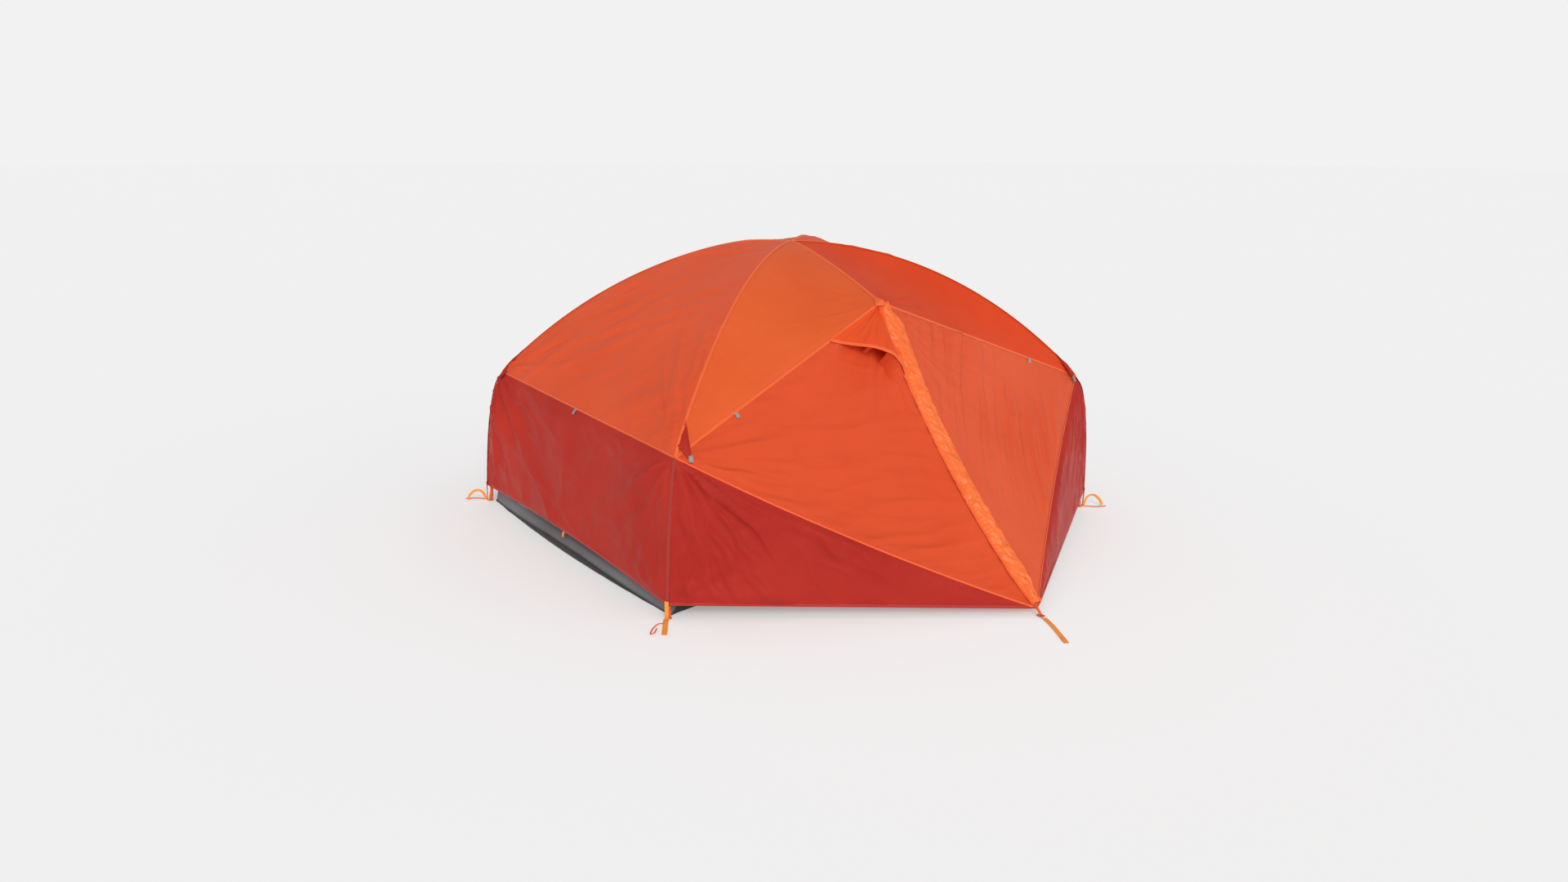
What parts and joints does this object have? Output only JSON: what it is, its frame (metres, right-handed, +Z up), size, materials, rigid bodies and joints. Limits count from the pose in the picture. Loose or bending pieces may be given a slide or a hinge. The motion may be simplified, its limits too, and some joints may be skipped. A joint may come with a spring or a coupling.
{
  "type": "dome tent on poles",
  "caption": "Pitched dome tent: crossed hooped poles and a ridge pole under an orange and red rain fly with a zipped vestibule on each long side, inner tent inside.",
  "frame": {"origin": "on the ground at the centre of the floor, under the crown", "axes": "+X along the floor's length, -Y out of the front vestibule, +Z up"},
  "size_m": [2.6062, 3.656, 1.2496],
  "materials": {
    "fly_orange": "coated ripstop cloth, soft sheen",
    "fly_red": "coated ripstop cloth, soft sheen",
    "floor_grey": "coated floor cloth, matt",
    "wall_grey": "coated wall cloth, matt",
    "mesh_grey": "insect mesh, matt",
    "pole_alloy": "anodised tube",
    "webbing_orange": "woven webbing",
    "zip_coil": "coil zip on woven tape",
    "plastic_grey": "moulded",
    "cord_white": "covered elastic cord"
  },
  "bodies": {
    "tent": {"corner_strap_front_left": "webbing_orange", "corner_strap_front_right": "webbing_orange", "corner_strap_rear_left": "webbing_orange", "corner_strap_rear_right": "webbing_orange", "crown_hanger": "plastic_grey", "fly_end_roof_left": "fly_orange", "fly_end_roof_right": "fly_orange", "fly_end_wall_left": "fly_red", "fly_end_wall_right": "fly_red", "fly_side_roof_front": "fly_orange", "fly_side_roof_rear": "fly_orange", "inner_end_wall_left": "wall_grey", "inner_end_wall_right": "wall_grey", "inner_roof": "mesh_grey", "inner_side_wall_front": "mesh_grey", "inner_side_wall_rear": "mesh_grey", "ladder_lock_front": "plastic_grey", "ladder_lock_rear": "plastic_grey", "pole_crown_a": "pole_alloy", "pole_crown_b": "pole_alloy", "pole_leg_front_left": "pole_alloy", "pole_leg_front_right": "pole_alloy", "pole_leg_rear_left": "pole_alloy", "pole_leg_rear_right": "pole_alloy", "pole_side_front_left": "pole_alloy", "pole_side_front_right": "pole_alloy", "pole_side_rear_left": "pole_alloy", "pole_side_rear_right": "pole_alloy", "pole_tip_front_left": "plastic_grey", "pole_tip_front_right": "plastic_grey", "pole_tip_rear_left": "plastic_grey", "pole_tip_rear_right": "plastic_grey", "ridge_pole": "pole_alloy", "shock_cord_a": "cord_white", "shock_cord_b": "cord_white", "storm_flap_front": "fly_orange", "storm_flap_rear": "fly_orange", "tub_floor": "floor_grey", "vent_hood_front": "fly_orange", "vent_hood_rear": "fly_orange", "vestibule_door_front": "fly_orange", "vestibule_door_rear": "fly_orange", "vestibule_jamb_front": "fly_orange", "vestibule_jamb_rear": "fly_orange", "vestibule_panel_front": "fly_orange", "vestibule_panel_rear": "fly_orange", "zip_track_front": "zip_coil", "zip_track_rear": "zip_coil"},
    "front_zip_slider": {"zip_slider_front": "plastic_grey"},
    "front_vent_prop": {"vent_prop_front": "plastic_grey"},
    "front_inner_door": {"inner_door_front": "mesh_grey"},
    "front_tip_loop": {"stake_loop_vestibule_front": "webbing_orange"},
    "rear_zip_slider": {"zip_slider_rear": "plastic_grey"},
    "rear_vent_prop": {"vent_prop_rear": "plastic_grey"},
    "rear_inner_door": {"inner_door_rear": "mesh_grey"},
    "rear_tip_loop": {"stake_loop_vestibule_rear": "webbing_orange"},
    "front_left_loop": {"stake_loop_front_left": "webbing_orange"},
    "front_right_loop": {"stake_loop_front_right": "webbing_orange"},
    "rear_right_loop": {"stake_loop_rear_right": "webbing_orange"},
    "rear_left_loop": {"stake_loop_rear_left": "webbing_orange"}
  },
  "joints": [
    {"name": "front_zip_travel", "type": "hinge", "parent": "tent", "child": "front_zip_slider", "pos_m": [0, -3.9991, 3.3172], "axis": [1, 0, 0], "range_deg": [0, 17.3], "deforming": ["vestibule_door_front"]},
    {"name": "front_vent_prop_fold", "type": "hinge", "parent": "tent", "child": "front_vent_prop", "pos_m": [-0.1761, -0.7257, 0.8791], "axis": [-0.8361, 0.392, 0.3837], "range_deg": [0, 70], "deforming": ["vent_hood_front"]},
    {"name": "front_inner_door_swing", "type": "hinge", "parent": "tent", "child": "front_inner_door", "pos_m": [-0.4, -0.7536, 0.2393], "axis": [0, 0.239, 0.971], "range_deg": [0, 85]},
    {"name": "front_tip_loop_lift", "type": "hinge", "parent": "tent", "child": "front_tip_loop", "pos_m": [0, -1.628, 0.0016], "axis": [-1, 0, 0], "range_deg": [0, 80]},
    {"name": "rear_zip_travel", "type": "hinge", "parent": "tent", "child": "rear_zip_slider", "pos_m": [0, 3.9991, 3.3172], "axis": [-1, 0, 0], "range_deg": [0, 17.3], "deforming": ["vestibule_door_rear"]},
    {"name": "rear_vent_prop_fold", "type": "hinge", "parent": "tent", "child": "rear_vent_prop", "pos_m": [0.1761, 0.7257, 0.8791], "axis": [0.8361, -0.392, 0.3837], "range_deg": [0, 70], "deforming": ["vent_hood_rear"]},
    {"name": "rear_inner_door_swing", "type": "hinge", "parent": "tent", "child": "rear_inner_door", "pos_m": [0.4, 0.7536, 0.2393], "axis": [0, -0.239, 0.971], "range_deg": [0, 85]},
    {"name": "rear_tip_loop_lift", "type": "hinge", "parent": "tent", "child": "rear_tip_loop", "pos_m": [0, 1.628, 0.0016], "axis": [1, 0, 0], "range_deg": [0, 80]},
    {"name": "front_left_loop_lift", "type": "hinge", "parent": "tent", "child": "front_left_loop", "pos_m": [-1.2038, -0.8518, 0.0016], "axis": [-0.5776, 0.8163, 0], "range_deg": [0, 80]},
    {"name": "front_right_loop_lift", "type": "hinge", "parent": "tent", "child": "front_right_loop", "pos_m": [1.2038, -0.8518, 0.0016], "axis": [-0.5776, -0.8163, 0], "range_deg": [0, 80]},
    {"name": "rear_right_loop_lift", "type": "hinge", "parent": "tent", "child": "rear_right_loop", "pos_m": [1.2038, 0.8518, 0.0016], "axis": [0.5776, -0.8163, 0], "range_deg": [0, 80]},
    {"name": "rear_left_loop_lift", "type": "hinge", "parent": "tent", "child": "rear_left_loop", "pos_m": [-1.2038, 0.8518, 0.0016], "axis": [0.5776, 0.8163, 0], "range_deg": [0, 80]}
  ]
}
